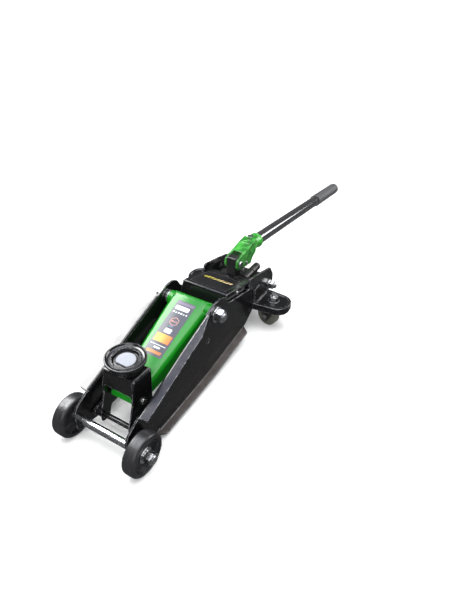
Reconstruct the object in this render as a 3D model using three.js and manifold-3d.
// Hydraulic trolley jack with a low two-plate chassis, in millimetres.
// +Z is up, the jack's nose points to -Y, its handle to +Y, and +X is its right side when
// you stand at the nose and look along +Y. The design is drawn with the front axle at Y = 0
// on a floor at Z = 0, and the whole group is then centred on its own footprint.

import * as THREE from "three";
import { mergeVertices } from "three/addons/utils/BufferGeometryUtils.js";
import Module from "manifold-3d";

const wasm = await Module();
wasm.setup();

// ---------------------------------------------------------------- driving dimensions

const GAP = 0.3; // play between pieces that touch or turn in one another
const FACETS = { small: 10, rod: 12, shaft: 16, hub: 20, wheel: 24 }; // sides of a round piece

const FRONT_WHEEL = { radius: 32.5, inner: 52.5, outer: 72.5 };
const AXLE = { radius: 6.2, end: 84 };
const PLATE = { inner: 44, outer: 47, flange: 60, flangeDrop: 3 };

const PIVOT = { y: 212, z: 118, shaft: 8, stud: 6, collar: 11 };
const CRANK = { length: 45, rest: 37, pin: 4.5, roller: 8, end: 36.6 };
const NOSE_PIN = { y: 50, z: 67, radius: 5 };
const LINK_OFFSET = { y: -24, z: -37 }; // from each arm pivot down to the levelling link
const LINK = { inner: 38.4, outer: 41.4, half: 7, pin: 4, spacer: 6 };
const ARM = { wall: 3.5, edge: 8, noseHalf: 21.8, noseY: 36, taper: 0.0744, boss: 38.5 };

const SADDLE = { y: 57, top: 131, radius: 29, seat: 113, spigot: 7 };
const BRACKET = { top: 113, front: 36.5, rear: 71.5, wall: 2.8, halfFront: 27, halfRear: 29.8 };

const RAM = { z: 77, rod: 9, tank: 22, tankFront: 262, blockFront: 336 };
const SPRING = { x: 32, z: 70, coil: 5, bore: 3.2, front: 258.2, rear: 335.6 };
const COVER = { half: 42, front: 253, frontZ: 128, rear: 338, rearZ: 104, wall: 2 };

const HANDLE = { y: 347, z: 124, droop: 7.67, lift: 15.1, tube: 11, grip: 13, length: 522 };
const PLUNGER = { y: 371, radius: 6, head: 8.6, block: 82, cap: 105.4 };
const ROLLER = { y: 371, z: 115, radius: 6 };
const RELEASE = { x: 20, z: 94 };
const TIE = { y: 400, z: 64, radius: 5 };

const CASTER = { x: 74, y: 368, trail: 9, radius: 20, half: 8, shelf: 58, rim: 13, yaw: -78 };

const COVER_SCREW = [286, 111]; // (Y, Z) of the screws through the cover's sides
const FILLER = [0, 322]; // (X, Y) of the oil filler, below a hole in the cover
const LINK_PIVOT = { y: PIVOT.y + LINK_OFFSET.y, z: PIVOT.z + LINK_OFFSET.z };
const LOWER_ROD = { y: NOSE_PIN.y + LINK_OFFSET.y, z: NOSE_PIN.z + LINK_OFFSET.z, radius: 4 };
const CRANK_PIN = {
  y: PIVOT.y + CRANK.length * Math.sin(THREE.MathUtils.degToRad(CRANK.rest)),
  z: PIVOT.z - CRANK.length * Math.cos(THREE.MathUtils.degToRad(CRANK.rest)),
};

// ---------------------------------------------------------------- finishes

const finish = (color, roughness, metalness) =>
  new THREE.MeshStandardMaterial({ color, roughness, metalness });
const FINISH = {
  black: finish(0x1b1c1f, 0.3, 0.3),
  green: finish(0x25a52f, 0.3, 0.2),
  zinc: finish(0xc9ccd0, 0.3, 0.9),
  steel: finish(0x8f9296, 0.4, 0.9),
  chrome: finish(0xd8dadd, 0.12, 1),
  iron: finish(0x26272a, 0.6, 0.4),
  spring: finish(0x55585c, 0.4, 0.8),
  tread: finish(0x2a2b2e, 0.6, 0),
  caster: finish(0x5f6157, 0.6, 0),
  pad: finish(0xc4c8d0, 0.6, 0),
  tube: finish(0x3a3b3e, 0.25, 0.8),
  grip: finish(0x58585c, 0.7, 0),
};

// ---------------------------------------------------------------- solids from geometry

function solidOf(geometry) {
  const bare = geometry.index ? geometry.toNonIndexed() : geometry.clone();
  const points = new THREE.BufferGeometry();
  points.setAttribute("position", bare.getAttribute("position"));
  const merged = mergeVertices(points, 1e-4);
  return new wasm.Manifold(
    new wasm.Mesh({
      numProp: 3,
      vertProperties: merged.attributes.position.array,
      triVerts: new Uint32Array(merged.index.array),
    }),
  );
}

function geometryOf(solid) {
  const mesh = solid.getMesh();
  const geometry = new THREE.BufferGeometry();
  geometry.setAttribute("position", new THREE.BufferAttribute(mesh.vertProperties, 3));
  geometry.setIndex(new THREE.BufferAttribute(mesh.triVerts, 1));
  geometry.computeVertexNormals();
  return geometry;
}

const join = (...solids) => solids.reduce((a, b) => a.add(b));
const cut = (body, ...tools) => tools.reduce((a, b) => a.subtract(b), body);
const common = (a, b) => a.intersect(b);

// Frames whose third direction runs along the named axis: an outline drawn in (Y, Z),
// (X, Z) or (X, Y) is swept along X, down Y or up Z.
const SWEEP = {
  x: [new THREE.Vector3(0, 1, 0), new THREE.Vector3(0, 0, 1), new THREE.Vector3(1, 0, 0)],
  y: [new THREE.Vector3(1, 0, 0), new THREE.Vector3(0, 0, 1), new THREE.Vector3(0, -1, 0)],
  z: [new THREE.Vector3(1, 0, 0), new THREE.Vector3(0, 1, 0), new THREE.Vector3(0, 0, 1)],
};

// A closed outline through corners [u, v, radius], each rounded by its own radius.
function outline(corners) {
  const shape = new THREE.Shape();
  const at = (i) => new THREE.Vector2(...corners[(i + corners.length) % corners.length]);
  corners.forEach(([, , radius = 0], i) => {
    const corner = at(i);
    const back = at(i - 1).sub(corner).normalize();
    const ahead = at(i + 1).sub(corner).normalize();
    const reach = radius / Math.tan(Math.acos(back.dot(ahead)) / 2);
    const start = corner.clone().addScaledVector(back, reach);
    const end = corner.clone().addScaledVector(ahead, reach);
    if (i === 0) shape.moveTo(start.x, start.y);
    else shape.lineTo(start.x, start.y);
    if (radius) shape.quadraticCurveTo(corner.x, corner.y, end.x, end.y);
  });
  shape.closePath();
  return shape;
}

// A shape swept between two places on an axis.
function slab(shape, axis, from, to, curveSegments = 3) {
  const depth = to - from;
  const geometry = new THREE.ExtrudeGeometry(shape, { depth, bevelEnabled: false, curveSegments });
  const frame = new THREE.Matrix4().makeBasis(...SWEEP[axis]);
  frame.setPosition(SWEEP[axis][2].clone().multiplyScalar(axis === "y" ? -to : from));
  return solidOf(geometry.applyMatrix4(frame));
}

function box(x, y, z) {
  const geometry = new THREE.BoxGeometry(x[1] - x[0], y[1] - y[0], z[1] - z[0]);
  geometry.translate((x[0] + x[1]) / 2, (y[0] + y[1]) / 2, (z[0] + z[1]) / 2);
  return solidOf(geometry);
}

// A profile of [radius, place along the axis] spun about an axis through a centre, given in
// the two other coordinates in X, Y, Z order.
function spun(profile, axis, centre = [0, 0], segments = FACETS.shaft) {
  const area = profile.reduce((sum, [r, h], i) => {
    const [nextR, nextH] = profile[(i + 1) % profile.length];
    return sum + r * nextH - nextR * h;
  }, 0);
  const ordered = area > 0 ? profile : [...profile].reverse();
  const closed = ordered[0][0] > 0 ? [...ordered, ordered[0]] : ordered;
  const points = closed.map(([r, h]) => new THREE.Vector2(r, h));
  const geometry = new THREE.LatheGeometry(points, segments);
  if (axis === "x") geometry.rotateZ(-Math.PI / 2);
  if (axis === "z") geometry.rotateX(Math.PI / 2);
  const [a, b] = centre;
  const place = { x: [0, a, b], y: [a, 0, b], z: [a, b, 0] }[axis];
  return solidOf(geometry.translate(...place));
}

const rod = (axis, from, to, radius, centre, segments = FACETS.rod, chamfer = 0.6) =>
  spun(
    [
      [0, from],
      [radius - chamfer, from],
      [radius, from + chamfer],
      [radius, to - chamfer],
      [radius - chamfer, to],
      [0, to],
    ],
    axis,
    centre,
    segments,
  );

const bore = (axis, from, to, radius, centre, segments = FACETS.rod) =>
  spun([[0, from], [radius, from], [radius, to], [0, to]], axis, centre, segments);

const ring = (axis, from, to, outer, inner, centre, segments = FACETS.shaft, chamfer = 0.4) =>
  spun(
    [
      [inner, from],
      [outer - chamfer, from],
      [outer, from + chamfer],
      [outer, to - chamfer],
      [outer - chamfer, to],
      [inner, to],
    ],
    axis,
    centre,
    segments,
  );

// A hexagon across whose flats the spanner fits, with its corners turned off at both ends.
function hexagon(axis, from, to, flats, [a, b]) {
  const reach = flats / Math.sqrt(3);
  const corner = (i) => (i * Math.PI) / 3 + Math.PI / 6;
  const corners = [...Array(6).keys()].map((i) => [
    a + reach * Math.cos(corner(i)),
    b + reach * Math.sin(corner(i)),
  ]);
  const tip = reach - flats / 2;
  const turned = [
    [0, from],
    [flats / 2, from],
    [reach + 0.1, from + tip * 0.6],
    [reach + 0.1, to - tip * 0.6],
    [flats / 2, to],
    [0, to],
  ];
  return common(slab(outline(corners), axis, from, to), spun(turned, axis, [a, b], FACETS.rod));
}

// Rings of equal point count, each anticlockwise seen from the first end, with a fan over
// each end.
function loft(rings) {
  const count = rings[0].length;
  const faces = [];
  for (let k = 0; k < rings.length - 1; k++)
    for (let i = 0; i < count; i++) {
      const j = (i + 1) % count;
      const [a, b] = [k * count + i, k * count + j];
      faces.push(a, b + count, b, a, a + count, b + count);
    }
  const last = (rings.length - 1) * count;
  for (let i = 1; i < count - 1; i++) faces.push(0, i, i + 1, last, last + i + 1, last + i);
  const geometry = new THREE.BufferGeometry();
  geometry.setAttribute("position", new THREE.Float32BufferAttribute(rings.flat(2), 3));
  return solidOf(geometry.setIndex(faces));
}

const jack = new THREE.Group();

function add(name, solid, material, { parent = jack, mirror = false } = {}) {
  const mesh = new THREE.Mesh(geometryOf(solid), material);
  mesh.name = name;
  if (mirror) mesh.scale.x = -1;
  parent.add(mesh);
  return mesh;
}

// The right-hand piece and its mirror image on the left.
function addPair(name, solid, material, parent = jack) {
  add(name + "_right", solid, material, { parent });
  add(name + "_left", solid, material, { parent, mirror: true });
}

// ---------------------------------------------------------------- chassis

const TOP_EDGE = [[18, 74.5], [43, 82.5], [126, 113], [200, 137]];
const LOW_EDGE = [[44, 8.5], [190, 12], [306, 25]];

// A flange along an edge of the side plate, cut to its plan outline.
function flange(edge, plan) {
  const under = edge.map(([y, z]) => [y, z - PLATE.flangeDrop]).reverse();
  const band = slab(outline([...edge, ...under]), "x", PLATE.inner + 1, PLATE.flange + 1);
  return common(band, slab(outline(plan), "z", 0, SADDLE.top + 20));
}

function sidePlate() {
  const web = slab(
    outline([
      ...TOP_EDGE,
      [209, 139.5, 5],
      [226, 139.5, 8],
      [239, 133, 8],
      [250, 116, 6],
      [263, 111.5],
      [321, 98, 2],
      [322, 118.5, 5],
      [366, 108.5],
      [403, 98.5, 8],
      [416, 78, 8],
      [416, 52, 6],
      [392, 46, 4],
      [340, 46, 10],
      [306, 25, 3],
      [190, 12],
      [44, 8.5],
      [22, 15, 6],
      [4, 18.5, 6],
      [-12, 20, 9],
      [-11, 52, 8],
      [-5, 62, 4],
      [12, 71, 3],
    ]),
    "x",
    PLATE.inner,
    PLATE.outer,
  );
  const upper = flange(TOP_EDGE, [
    [PLATE.inner, 18],
    [PLATE.flange, 20, 2],
    [PLATE.flange, 153, 3],
    [PLATE.inner + 5, 190],
    [PLATE.inner, 192],
  ]);
  const lower = flange(LOW_EDGE.map(([y, z]) => [y, z + PLATE.flangeDrop]), [
    [PLATE.inner, 44],
    [PLATE.outer, 44],
    [PLATE.flange, 56, 3],
    [PLATE.flange, 296, 3],
    [PLATE.outer, 306],
    [PLATE.inner, 306],
  ]);
  const through = [PLATE.inner - 1, PLATE.outer + 1];
  const earSlot = [[373, 84, 1], [377, 84, 1], [381, 92, 1], [377, 92, 1]];
  return cut(
    join(web, upper, lower),
    bore("x", ...through, AXLE.radius + GAP, [0, FRONT_WHEEL.radius]),
    bore("x", ...through, PIVOT.stud + GAP, [PIVOT.y, PIVOT.z]),
    bore("x", ...through, LINK.pin + GAP, [LINK_PIVOT.y, LINK_PIVOT.z]),
    bore("x", ...through, TIE.radius + GAP, [TIE.y, TIE.z]),
    slab(outline(earSlot), "x", ...through),
  );
}

function frontAxle() {
  const neck = AXLE.radius - 0.2;
  return spun(
    [
      [0, -AXLE.end],
      [neck - 1, -AXLE.end],
      [neck, -AXLE.end + 1],
      [neck, -PLATE.inner + GAP],
      [AXLE.radius, -PLATE.inner + GAP],
      [AXLE.radius, PLATE.inner - GAP],
      [neck, PLATE.inner - GAP],
      [neck, AXLE.end - 1],
      [neck - 1, AXLE.end],
      [0, AXLE.end],
    ],
    "x",
    [0, FRONT_WHEEL.radius],
    FACETS.hub,
  );
}

function frontWheel() {
  const { radius, inner, outer } = FRONT_WHEEL;
  const centre = [0, radius];
  const shoulder = 3;
  const rounding = (x, sign) =>
    [0, 45, 90].map((angle) => {
      const turn = THREE.MathUtils.degToRad(angle);
      return [radius - shoulder + shoulder * Math.sin(turn), x + sign * shoulder * Math.cos(turn)];
    });
  const face = outer - 6;
  return spun(
    [
      [AXLE.radius + GAP, inner + 3],
      [13, inner + 3],
      [24, inner + 4],
      [26, inner],
      ...rounding(inner + shoulder, -1),
      ...rounding(outer - shoulder, 1).reverse(),
      [27, outer],
      [25, outer - 2],
      [22, outer - 1.2],
      [19, face],
      [AXLE.radius + GAP, face],
    ],
    "x",
    centre,
    FACETS.wheel,
  );
}

function axleNut() {
  const centre = [0, FRONT_WHEEL.radius];
  const collar = rod("x", 68.6, 74.5, 8, centre);
  const hex = hexagon("x", 74, 81.5, 17, centre);
  return cut(join(collar, hex), bore("x", 60, 90, AXLE.radius - 0.2 + GAP, centre));
}

function armPivotShaft() {
  const reach = PLATE.inner - GAP;
  const half = [
    [PIVOT.stud - 1, 64],
    [PIVOT.stud, 63],
    [PIVOT.stud, reach],
    [PIVOT.collar, reach],
    [PIVOT.collar, ARM.boss + GAP],
    [PIVOT.shaft, ARM.boss + GAP],
  ];
  return spun(
    [[0, 64], ...half, ...half.map(([r, x]) => [r, -x]).reverse(), [0, -64]],
    "x",
    [PIVOT.y, PIVOT.z],
  );
}

const bolted = (flats, from, to, centre, hole) =>
  cut(hexagon("x", from, to, flats, centre), bore("x", from - 1, to + 1, hole + GAP, centre));

// ---------------------------------------------------------------- cover

function coverPlate() {
  const { half, front, frontZ, rear, rearZ, wall } = COVER;
  const outer = outline([
    [243, 106],
    [front, frontZ, 3],
    [rear, rearZ, 2],
    [rear, rearZ - 12],
    [252, 107],
  ]);
  const inside = outline([
    [240, 100],
    [front + 1.5, frontZ - wall - 0.6, 2],
    [rear + 5, rearZ - wall - 1.4],
    [rear + 5, rearZ - 20],
    [252, 95],
  ]);
  const shell = cut(slab(outer, "x", -half, half), slab(inside, "x", wall - half, half - wall));
  const screwHole = bore("x", -50, 50, 2.3, COVER_SCREW, FACETS.small);
  const filler = bore("z", 80, 140, 4, FILLER, FACETS.small);
  return cut(shell, screwHole, filler);
}

const coverScrew = () => {
  const shank = rod("x", 37, 42.4, 2, COVER_SCREW, FACETS.small, 0.3);
  const head = rod("x", 42.3, 43.6, 3.6, COVER_SCREW, FACETS.rod, 0.5);
  return join(shank, head);
};

// ---------------------------------------------------------------- power unit

function pumpBlock() {
  const side = [
    [336, 34, 4],
    [336, 96, 3],
    [358, 96, 3],
    [384, 82, 4],
    [410, 78, 6],
    [410, 50, 6],
    [396, 34, 6],
  ];
  const lug = [[342, 46, 4], [342, 62, 4], [408, 72, 6], [408, 54, 6]];
  const post = [[338, 80], [338, 137, 3], [356, 137, 6], [357, 80]];
  const lugEnd = PLATE.inner - 0.4;
  const body = slab(outline(side), "x", -28, 28);
  const lugs = slab(outline(lug), "x", -lugEnd, lugEnd);
  const upright = slab(outline(post), "x", -8.5, 8.5);
  const boss = rod("z", 70, PLUNGER.block, 11, [0, PLUNGER.y], FACETS.hub);
  const releaseBoss = rod("y", 350, 376, 8, [RELEASE.x, RELEASE.z], FACETS.shaft, 1);
  const pocketTop = 86.5;
  return cut(
    join(body, lugs, upright, boss, releaseBoss),
    box([-30, 30], [359, 384], [PLUNGER.block, pocketTop]),
    box([-12, 12], [359.2, 400], [PLUNGER.block, 110]),
    bore("z", 44, 120, PLUNGER.radius + GAP, [0, PLUNGER.y]),
    bore("x", -12, 12, 4 + GAP, [HANDLE.y, HANDLE.z]),
    bore("x", -50, 50, TIE.radius + GAP, [TIE.y, TIE.z]),
    bore("y", 362, 380, 4 + GAP, [RELEASE.x, RELEASE.z], FACETS.small),
    bore("y", 330, 352, RAM.rod + 2, [0, RAM.z]),
  );
}

const reservoir = () =>
  cut(
    ring("y", RAM.tankFront, RAM.blockFront - GAP, RAM.tank, 13, [0, RAM.z], FACETS.wheel, 1.5),
    bore("z", RAM.z + 14, RAM.z + 30, 3.3, FILLER, FACETS.small),
  );

const glandRing = () => ring("y", 259, RAM.tankFront + 8, 12.7, RAM.rod + GAP, [0, RAM.z]);

const oilPlug = () =>
  join(
    rod("z", RAM.z + 17, RAM.z + 22.2, 3, FILLER, FACETS.small, 0.3),
    rod("z", RAM.z + 22.1, RAM.z + 24.4, 5.5, FILLER, FACETS.rod, 0.5),
  );

const ramRod = () => rod("y", 258.3, 333, RAM.rod, [0, RAM.z], FACETS.shaft, 1);

function ramHead() {
  const face = CRANK_PIN.y + CRANK.roller + 1.2;
  const block = box([-16, 16], [face, 258], [62, 92]);
  const hooks = SPRING.x + SPRING.coil;
  const crossbar = box([-hooks, hooks], [251.6, 257.6], [SPRING.z - 4, SPRING.z + 4]);
  return join(block, crossbar);
}

const returnSpring = () => {
  const { x, z, coil, bore: hole, front, rear } = SPRING;
  return ring("y", front, rear, coil, hole, [x, z], FACETS.small, 0.3);
};

function pumpPlunger() {
  const centre = [0, PLUNGER.y];
  const top = ROLLER.z - ROLLER.radius - GAP;
  const shank = rod("z", 48, PLUNGER.cap + 1, PLUNGER.radius, centre);
  return join(shank, rod("z", PLUNGER.cap, top, PLUNGER.head, centre, FACETS.shaft));
}

const plungerSpring = () => {
  const { y, radius, head, block, cap } = PLUNGER;
  return ring("z", block + GAP, cap - GAP, head, radius + GAP, [0, y], FACETS.rod, 0.3);
};

function releaseValve() {
  const centre = [RELEASE.x, RELEASE.z];
  const stem = rod("y", 364, 396, 4, centre, FACETS.small, 0.4);
  const barrel = [[0, 377], [6.2, 377], [7.2, 378.5], [7.2, 392], [6.2, 393]];
  const head = [[6.2, 395.5], [7, 396.5], [7, 400], [5, 403], [0, 404]];
  const knob = spun([...barrel, ...head], "y", centre, FACETS.hub);
  const { x, z } = RELEASE;
  const slot = box([x - 9, x + 9], [401, 406], [z - 1.4, z + 1.4]);
  return cut(join(stem, knob), slot);
}

// ---------------------------------------------------------------- lifting arm

// Half the arm's width, which grows evenly from the nose to the pivot.
const armHalf = (y) => ARM.noseHalf + (y - ARM.noseY) * ARM.taper;

// One cross-section of the arm's outer or inner skin: straight sides under a rounded top.
function armRing(y, top, inset) {
  const half = armHalf(y) - inset;
  const radius = ARM.edge - inset;
  const crown = (sign) =>
    [0, 45, 90].map((angle) => {
      const turn = THREE.MathUtils.degToRad(angle);
      return [
        sign * (half - radius + radius * Math.cos(turn)),
        y,
        top - inset - radius + radius * Math.sin(turn),
      ];
    });
  return [[half, y, 20], ...crown(1), ...crown(-1).reverse(), [-half, y, 20]];
}

const ARM_TOP = [[30, 70], [75, 82], [205, 127.5], [262, 140]];
const topAt = (y) => {
  const i = ARM_TOP.findIndex(([next]) => next > y);
  const [[y0, z0], [y1, z1]] = [ARM_TOP[i - 1], ARM_TOP[i]];
  return z0 + ((y - y0) * (z1 - z0)) / (y1 - y0);
};

function liftArm() {
  const skin = (from, to, inset) => {
    const middle = ARM_TOP.slice(1, -1).map(([y]) => y);
    return loft([from, ...middle, to].map((y) => armRing(y, topAt(y), inset)));
  };
  const side = slab(
    outline([
      [41, 90],
      [41, 59, 3],
      [50, 56.5, 4],
      [120, 66],
      [185, 84, 8],
      [226, 74, 6],
      [236, 70.5, 8],
      [251, 76, 9],
      [249, 88, 9],
      [226, 104, 8],
      [226, 132.5, 12],
      [200, 127.6],
      [190, 146],
    ]),
    "x",
    -60,
    60,
    4,
  );
  const channel = cut(common(skin(32, 258, 0), side), skin(44.4, 222.5, ARM.wall));
  const bossOf = (x) => rod("x", ...x, 12, [PIVOT.y, PIVOT.z], FACETS.hub, 1);
  const bosses = [bossOf([29, ARM.boss]), bossOf([-ARM.boss, -29])];
  const gap = box([-28.8, 28.8], [222, 262], [60, 104]);
  return cut(
    join(channel, ...bosses),
    gap,
    bore("x", -50, 50, PIVOT.shaft + GAP, [PIVOT.y, PIVOT.z], FACETS.shaft),
    bore("x", -50, 50, CRANK.pin + GAP, [CRANK_PIN.y, CRANK_PIN.z]),
    bore("x", -50, 50, NOSE_PIN.radius + GAP, [NOSE_PIN.y, NOSE_PIN.z]),
  );
}

const crankPin = () => rod("x", -CRANK.end, CRANK.end, CRANK.pin, [CRANK_PIN.y, CRANK_PIN.z]);
const crankRoller = () =>
  ring("x", -13, 13, CRANK.roller, CRANK.pin + GAP, [CRANK_PIN.y, CRANK_PIN.z]);
const nosePin = () => {
  const centre = [NOSE_PIN.y, NOSE_PIN.z];
  return rod("x", -31, 31, NOSE_PIN.radius, centre, FACETS.shaft, 1);
};

// ---------------------------------------------------------------- saddle and its bracket

const bracketSides = [
  [BRACKET.front, BRACKET.top, 4],
  [30, 71, 10],
  [16.5, 34],
  [17, 22, 7],
  [33, 21, 8],
  [40, 40, 14],
  [68, 48, 10],
  [BRACKET.rear, BRACKET.top, 2],
];

function saddleBracket() {
  const { front, rear, top, wall, halfFront, halfRear } = BRACKET;
  const plan = (inset) => {
    const slope = (halfRear - halfFront) / (rear - front);
    const half = (y) => halfFront + (y - front) * slope - inset;
    return outline([[-half(10), 10], [half(10), 10], [half(80), 80], [-half(80), 80]]);
  };
  const block = common(slab(outline(bracketSides), "x", -40, 40), slab(plan(0), "z", 10, 120));
  const inside = [
    [front + wall, top - wall],
    [32.6, 68],
    [5, 68],
    [5, 10],
    [90, 10],
    [90, top - wall],
  ];
  const hollow = common(slab(outline(inside), "x", -40, 40), slab(plan(wall), "z", 0, 130));
  const frontWindow = box([-halfFront + wall, halfFront - wall], [0, front + 6], [0, 87]);
  return cut(
    block,
    hollow,
    frontWindow,
    bore("x", -40, 40, NOSE_PIN.radius + GAP, [NOSE_PIN.y, NOSE_PIN.z]),
    bore("x", -40, 40, LOWER_ROD.radius + GAP, [LOWER_ROD.y, LOWER_ROD.z]),
    bore("z", 100, 120, SADDLE.spigot + GAP, [0, SADDLE.y]),
  );
}

function lowerRod() {
  const centre = [LOWER_ROD.y, LOWER_ROD.z];
  const end = LINK.outer + 1;
  const shaft = rod("x", -end, end, LOWER_ROD.radius, centre, FACETS.rod, 0.8);
  const sleeve = (from, to) => rod("x", from, to, LINK.spacer, centre, FACETS.rod, 0.4);
  return join(shaft, sleeve(28, LINK.inner - GAP), sleeve(GAP - LINK.inner, -28));
}

function saddleCup() {
  const { y, top, radius, seat, spigot } = SADDLE;
  const cup = spun(
    [
      [0, seat - 9],
      [spigot, seat - 9],
      [spigot, seat + GAP],
      [22, seat + GAP],
      [22.5, seat + 4],
      [27.5, top - 7],
      [radius, top - 4],
      [radius, top - 0.8],
      [radius - 0.8, top],
      [radius - 2.2, top],
      [radius - 3.4, top - 2.4],
      [21.8, top - 3],
      [20.5, top - 1.6],
      [18.6, top - 1.6],
      [17.4, top - 7],
      [0, top - 7],
    ],
    "z",
    [0, y],
    FACETS.wheel,
  );
  const notch = (halfX, halfY) =>
    box([-halfX, halfX], [y - halfY, y + halfY], [top - 3, top + 1]);
  return cut(cup, notch(5, 21.4), notch(21.4, 5));
}

function saddlePad() {
  const { y, top } = SADDLE;
  const disc = rod("z", top - 6.7, top - 4.4, 13.7, [0, y], FACETS.wheel, 0.5);
  return cut(disc, box([-20, 20], [y - 20, y - 10.2], [120, 140]));
}

function linkBar() {
  const { inner, outer, half } = LINK;
  const eye = ({ y, z }) => rod("x", inner, outer, half + 1, [y, z], FACETS.shaft, 0.4);
  const [a, b] = [LOWER_ROD, LINK_PIVOT].map(({ y, z }) => new THREE.Vector2(y, z));
  const side = b.clone().sub(a).normalize().rotateAround(new THREE.Vector2(), Math.PI / 2);
  const corner = (end, sign) => end.clone().addScaledVector(side, sign * half).toArray();
  const corners = [corner(a, -1), corner(b, -1), corner(b, 1), corner(a, 1)];
  const bar = slab(outline(corners), "x", inner, outer);
  return cut(
    join(bar, eye(LOWER_ROD), eye(LINK_PIVOT)),
    bore("x", 30, 45, LOWER_ROD.radius + GAP, [LOWER_ROD.y, LOWER_ROD.z]),
    bore("x", 30, 45, LINK.pin + GAP, [LINK_PIVOT.y, LINK_PIVOT.z]),
  );
}

const linkPin = () => {
  const centre = [LINK_PIVOT.y, LINK_PIVOT.z];
  const shank = rod("x", LINK.inner - GAP, PLATE.outer - 0.8, LINK.pin, centre);
  const spacer = rod("x", LINK.outer + GAP, PLATE.inner - GAP, LINK.spacer, centre);
  return join(shank, spacer);
};

// ---------------------------------------------------------------- casters

function casterCarrier() {
  const { x, y, shelf, rim } = CASTER;
  const wall = 3;
  const face = PLATE.outer + GAP;
  // The tray's plan: its front edge slants back from the chassis to the round outer end.
  const plan = (inset) =>
    outline([
      [face + inset, 337.5 + 1.15 * inset],
      [106 - inset, 345 + 1.02 * inset, 22 - inset],
      [106 - inset, 391.5 - inset, 22 - inset],
      [face + inset, 391.5 - inset],
    ]);
  const tray = cut(
    slab(plan(0), "z", shelf - rim, shelf, 4),
    slab(plan(wall), "z", shelf - 2 * rim, shelf - wall, 4),
  );
  const side = [
    [338.2, shelf - rim],
    [338.2, 88, 4],
    [352, 91, 3],
    [376, 77, 6],
    [396, 51, 4],
    [397, shelf - rim],
  ];
  const cheek = slab(outline(side), "x", face, face + wall);
  return cut(
    join(tray, cheek),
    bore("z", shelf - 20, shelf + 5, 4 + GAP, [x, y]),
    box([80, 110], [y - 3.5, y + 3.5], [shelf - rim - 2, shelf - 6]),
  );
}

// The kingpin hangs the fork: its hexagon rests on the shelf and its foot is under the fork.
const kingpin = () =>
  join(
    hexagon("z", CASTER.shelf + GAP, CASTER.shelf + 7.5, 14, [CASTER.x, CASTER.y]),
    rod("z", 45, CASTER.shelf + 10, 4, [CASTER.x, CASTER.y]),
    rod("z", 44, 47.2, 7, [CASTER.x, CASTER.y], FACETS.shaft),
  );

// The fork, wheel and axle are drawn about the kingpin with the wheel trailing to +Y.
function casterFork() {
  const { trail, radius } = CASTER;
  const plate = rod("z", 47.5, 51.5, 15, [0, 0], FACETS.shaft);
  const side = [
    [-10, 51],
    [10, 51],
    [trail + 8, 40, 6],
    [trail + 6, 12, 5],
    [trail - 6, 12, 5],
    [-9, 40, 5],
  ];
  const leg = (from, to) => slab(outline(side), "x", from, to);
  return cut(
    join(plate, leg(9, 11.5), leg(-11.5, -9)),
    bore("z", 40, 60, 4 + GAP, [0, 0]),
    bore("x", -20, 20, 3 + GAP, [trail, radius], FACETS.small),
  );
}

const casterWheel = () =>
  spun(
    [
      [3 + GAP, -CASTER.half],
      [CASTER.radius - 1.5, -CASTER.half],
      [CASTER.radius, -CASTER.half + 1.5],
      [CASTER.radius, CASTER.half - 1.5],
      [CASTER.radius - 1.5, CASTER.half],
      [3 + GAP, CASTER.half],
    ],
    "x",
    [CASTER.trail, CASTER.radius],
    FACETS.hub,
  );

const casterAxle = () => {
  const centre = [CASTER.trail, CASTER.radius];
  const shank = rod("x", -14, 12.6, 3, centre, FACETS.small, 0.4);
  const head = (from, to) => rod("x", from, to, 4.6, centre, FACETS.rod, 0.5);
  return join(shank, head(-14, -11.8), head(11.8, 14));
};

// ---------------------------------------------------------------- handle

// The roller's centre, seen from the socket pin once the droop is taken out.
const localRoller = new THREE.Vector2(ROLLER.y - HANDLE.y, ROLLER.z - HANDLE.z)
  .rotateAround(new THREE.Vector2(), THREE.MathUtils.degToRad(HANDLE.droop))
  .toArray();

// The socket, tube and grip are drawn about the socket pin with the handle level, and the
// group they hang in is then tipped down by the droop.
function handleSocket() {
  const { lift, tube } = HANDLE;
  const cheekOutline = outline([
    [-10, -4, 6],
    [-10, 9, 5],
    [5, 14, 8],
    [52, lift + 12.5, 14],
    [60, lift + 13],
    [60, 2, 3],
    [50, -3, 4],
    [45, -14, 5],
    [12, -13, 8],
    [-4, -11, 7],
  ]);
  const cheeks = slab(cheekOutline, "x", -13, 13);
  const barrel = spun(
    [[0, 40], [13, 40], [13, 80], [14.2, 81.5], [14.2, 84.5], [13, 86], [0, 86]],
    "y",
    [0, lift],
    FACETS.wheel,
  );
  const throatHalf = 9.3;
  const throatSide = [[-30, -30], [46, -30], [46, 8], [26, 10], [14, 14.5], [14, 40], [-30, 40]];
  const throat = slab(outline(throatSide), "x", -throatHalf, throatHalf);
  const lowerThroat = box([-throatHalf, throatHalf], [20, 52], [-30, 0]);
  return cut(
    join(cheeks, barrel),
    throat,
    lowerThroat,
    bore("y", 48, 110, tube + GAP, [0, lift], FACETS.wheel),
    bore("x", -20, 20, 4 + GAP, [0, 0]),
    bore("x", -20, 20, 3 + GAP, localRoller, FACETS.small),
    bore("z", lift + 5, lift + 20, 3 + GAP, [0, 57], FACETS.small),
  );
}

const socketPin = () => {
  const shank = rod("x", -16, 15, 4, [0, 0]);
  const head = rod("x", 13.4, 16.5, 6.2, [0, 0], FACETS.shaft, 0.8);
  return join(shank, head);
};

const pumpRoller = () => ring("x", -8.6, 8.6, ROLLER.radius, 3 + GAP, localRoller);
const rollerPin = () => rod("x", -14.6, 14.6, 3, localRoller, FACETS.small);

const setScrew = () => {
  const centre = [0, 57];
  const top = HANDLE.lift + HANDLE.tube;
  const shank = rod("z", top + GAP, top + 5, 3, centre, FACETS.small, 0.4);
  return join(shank, hexagon("z", top + 3.2, top + 6.8, 9, centre));
};

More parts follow.
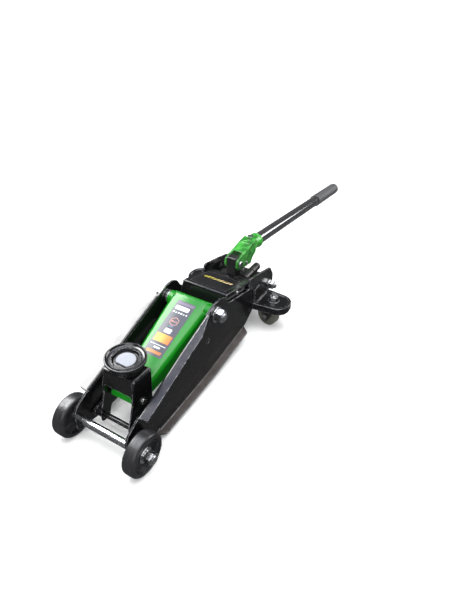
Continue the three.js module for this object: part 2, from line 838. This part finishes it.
const handleTube = () => {
  const { tube, lift, length } = HANDLE;
  return ring("y", 49, length - 6, tube, tube - 1.8, [0, lift], FACETS.hub, 0.5);
};

function handleGrip() {
  const { tube, grip, lift, length } = HANDLE;
  const start = length - 134;
  return spun(
    [
      [tube + GAP, start],
      [grip - 0.6, start],
      [grip, start + 1.5],
      [grip, length - 5],
      [grip - 2.5, length - 1],
      [grip - 6, length],
      [0, length],
      [0, length - 4],
      [tube + GAP, length - 4],
    ],
    "y",
    [0, lift],
    FACETS.hub,
  );
}

// ---------------------------------------------------------------- assembly

function assembleChassis() {
  const axleCentre = [0, FRONT_WHEEL.radius];
  const pivotCentre = [PIVOT.y, PIVOT.z];
  const tieCentre = [TIE.y, TIE.z];
  addPair("side_plate", sidePlate(), FINISH.black);
  add("front_axle", frontAxle(), FINISH.zinc);
  addPair("front_wheel", frontWheel(), FINISH.tread);
  const axleWasher = ring("x", 66.8, 68.3, 12, AXLE.radius + GAP, axleCentre, FACETS.hub);
  addPair("axle_washer", axleWasher, FINISH.zinc);
  addPair("axle_nut", axleNut(), FINISH.zinc);
  add("arm_pivot_shaft", armPivotShaft(), FINISH.zinc);
  const face = PLATE.outer + GAP;
  const pivotWasher = ring("x", face, 49.4, 13, PIVOT.stud + GAP, pivotCentre, FACETS.hub);
  addPair("pivot_washer", pivotWasher, FINISH.zinc);
  addPair("pivot_nut", bolted(19, 49.7, 60.5, pivotCentre, PIVOT.stud), FINISH.zinc);
  add("cover_plate", coverPlate(), FINISH.black);
  addPair("cover_screw", coverScrew(), FINISH.zinc);
  add("pump_block", pumpBlock(), FINISH.iron);
  add("reservoir", reservoir(), FINISH.black);
  add("gland_ring", glandRing(), FINISH.steel);
  add("oil_plug", oilPlug(), FINISH.tread);
  add("rear_tie_rod", rod("x", -62, 62, TIE.radius, tieCentre, FACETS.shaft, 1), FINISH.zinc);
  addPair("tie_nut", bolted(15, face, 56, tieCentre, TIE.radius), FINISH.zinc);
  addPair("caster_carrier", casterCarrier(), FINISH.black);
  addPair("kingpin", kingpin(), FINISH.zinc);
  addPair("link_pin", linkPin(), FINISH.steel);
  add("release_valve", releaseValve(), FINISH.iron);
  addPair("return_spring", returnSpring(), FINISH.spring);
  add("plunger_spring", plungerSpring(), FINISH.spring);
  add("pump_plunger", pumpPlunger(), FINISH.chrome);
}

function assembleLift() {
  add("lift_arm", liftArm(), FINISH.green);
  add("crank_pin", crankPin(), FINISH.steel);
  add("crank_roller", crankRoller(), FINISH.steel);
  add("nose_pin", nosePin(), FINISH.zinc);
  add("saddle_bracket", saddleBracket(), FINISH.black);
  add("lower_rod", lowerRod(), FINISH.black);
  add("saddle_cup", saddleCup(), FINISH.black);
  add("saddle_pad", saddlePad(), FINISH.pad);
  addPair("link_bar", linkBar(), FINISH.black);
  add("ram_rod", ramRod(), FINISH.chrome);
  add("ram_head", ramHead(), FINISH.iron);
}

function assembleCasters() {
  for (const [side, sign] of [["right", 1], ["left", -1]]) {
    const caster = new THREE.Group();
    caster.position.set(sign * CASTER.x, CASTER.y, 0);
    caster.rotation.z = THREE.MathUtils.degToRad(-sign * CASTER.yaw);
    add("caster_fork_" + side, casterFork(), FINISH.steel, { parent: caster });
    add("caster_wheel_" + side, casterWheel(), FINISH.caster, { parent: caster });
    add("caster_axle_" + side, casterAxle(), FINISH.zinc, { parent: caster });
    jack.add(caster);
  }
}

function assembleHandle() {
  const handle = new THREE.Group();
  handle.position.set(0, HANDLE.y, HANDLE.z);
  handle.rotation.x = THREE.MathUtils.degToRad(-HANDLE.droop);
  const parent = { parent: handle };
  add("handle_socket", handleSocket(), FINISH.green, parent);
  add("socket_pin", socketPin(), FINISH.zinc, parent);
  add("pump_roller", pumpRoller(), FINISH.zinc, parent);
  add("roller_pin", rollerPin(), FINISH.zinc, parent);
  add("set_screw", setScrew(), FINISH.zinc, parent);
  add("handle_tube", handleTube(), FINISH.tube, parent);
  add("handle_grip", handleGrip(), FINISH.grip, parent);
  jack.add(handle);
}

assembleChassis();
assembleLift();
assembleCasters();
assembleHandle();

// The part's origin is the middle of its footprint, on the floor.
jack.updateMatrixWorld(true);
const footprint = new THREE.Box3().setFromObject(jack, true).getCenter(new THREE.Vector3());
jack.position.set(-footprint.x, -footprint.y, 0);

const part = new THREE.Group();
part.add(jack);

export default part;
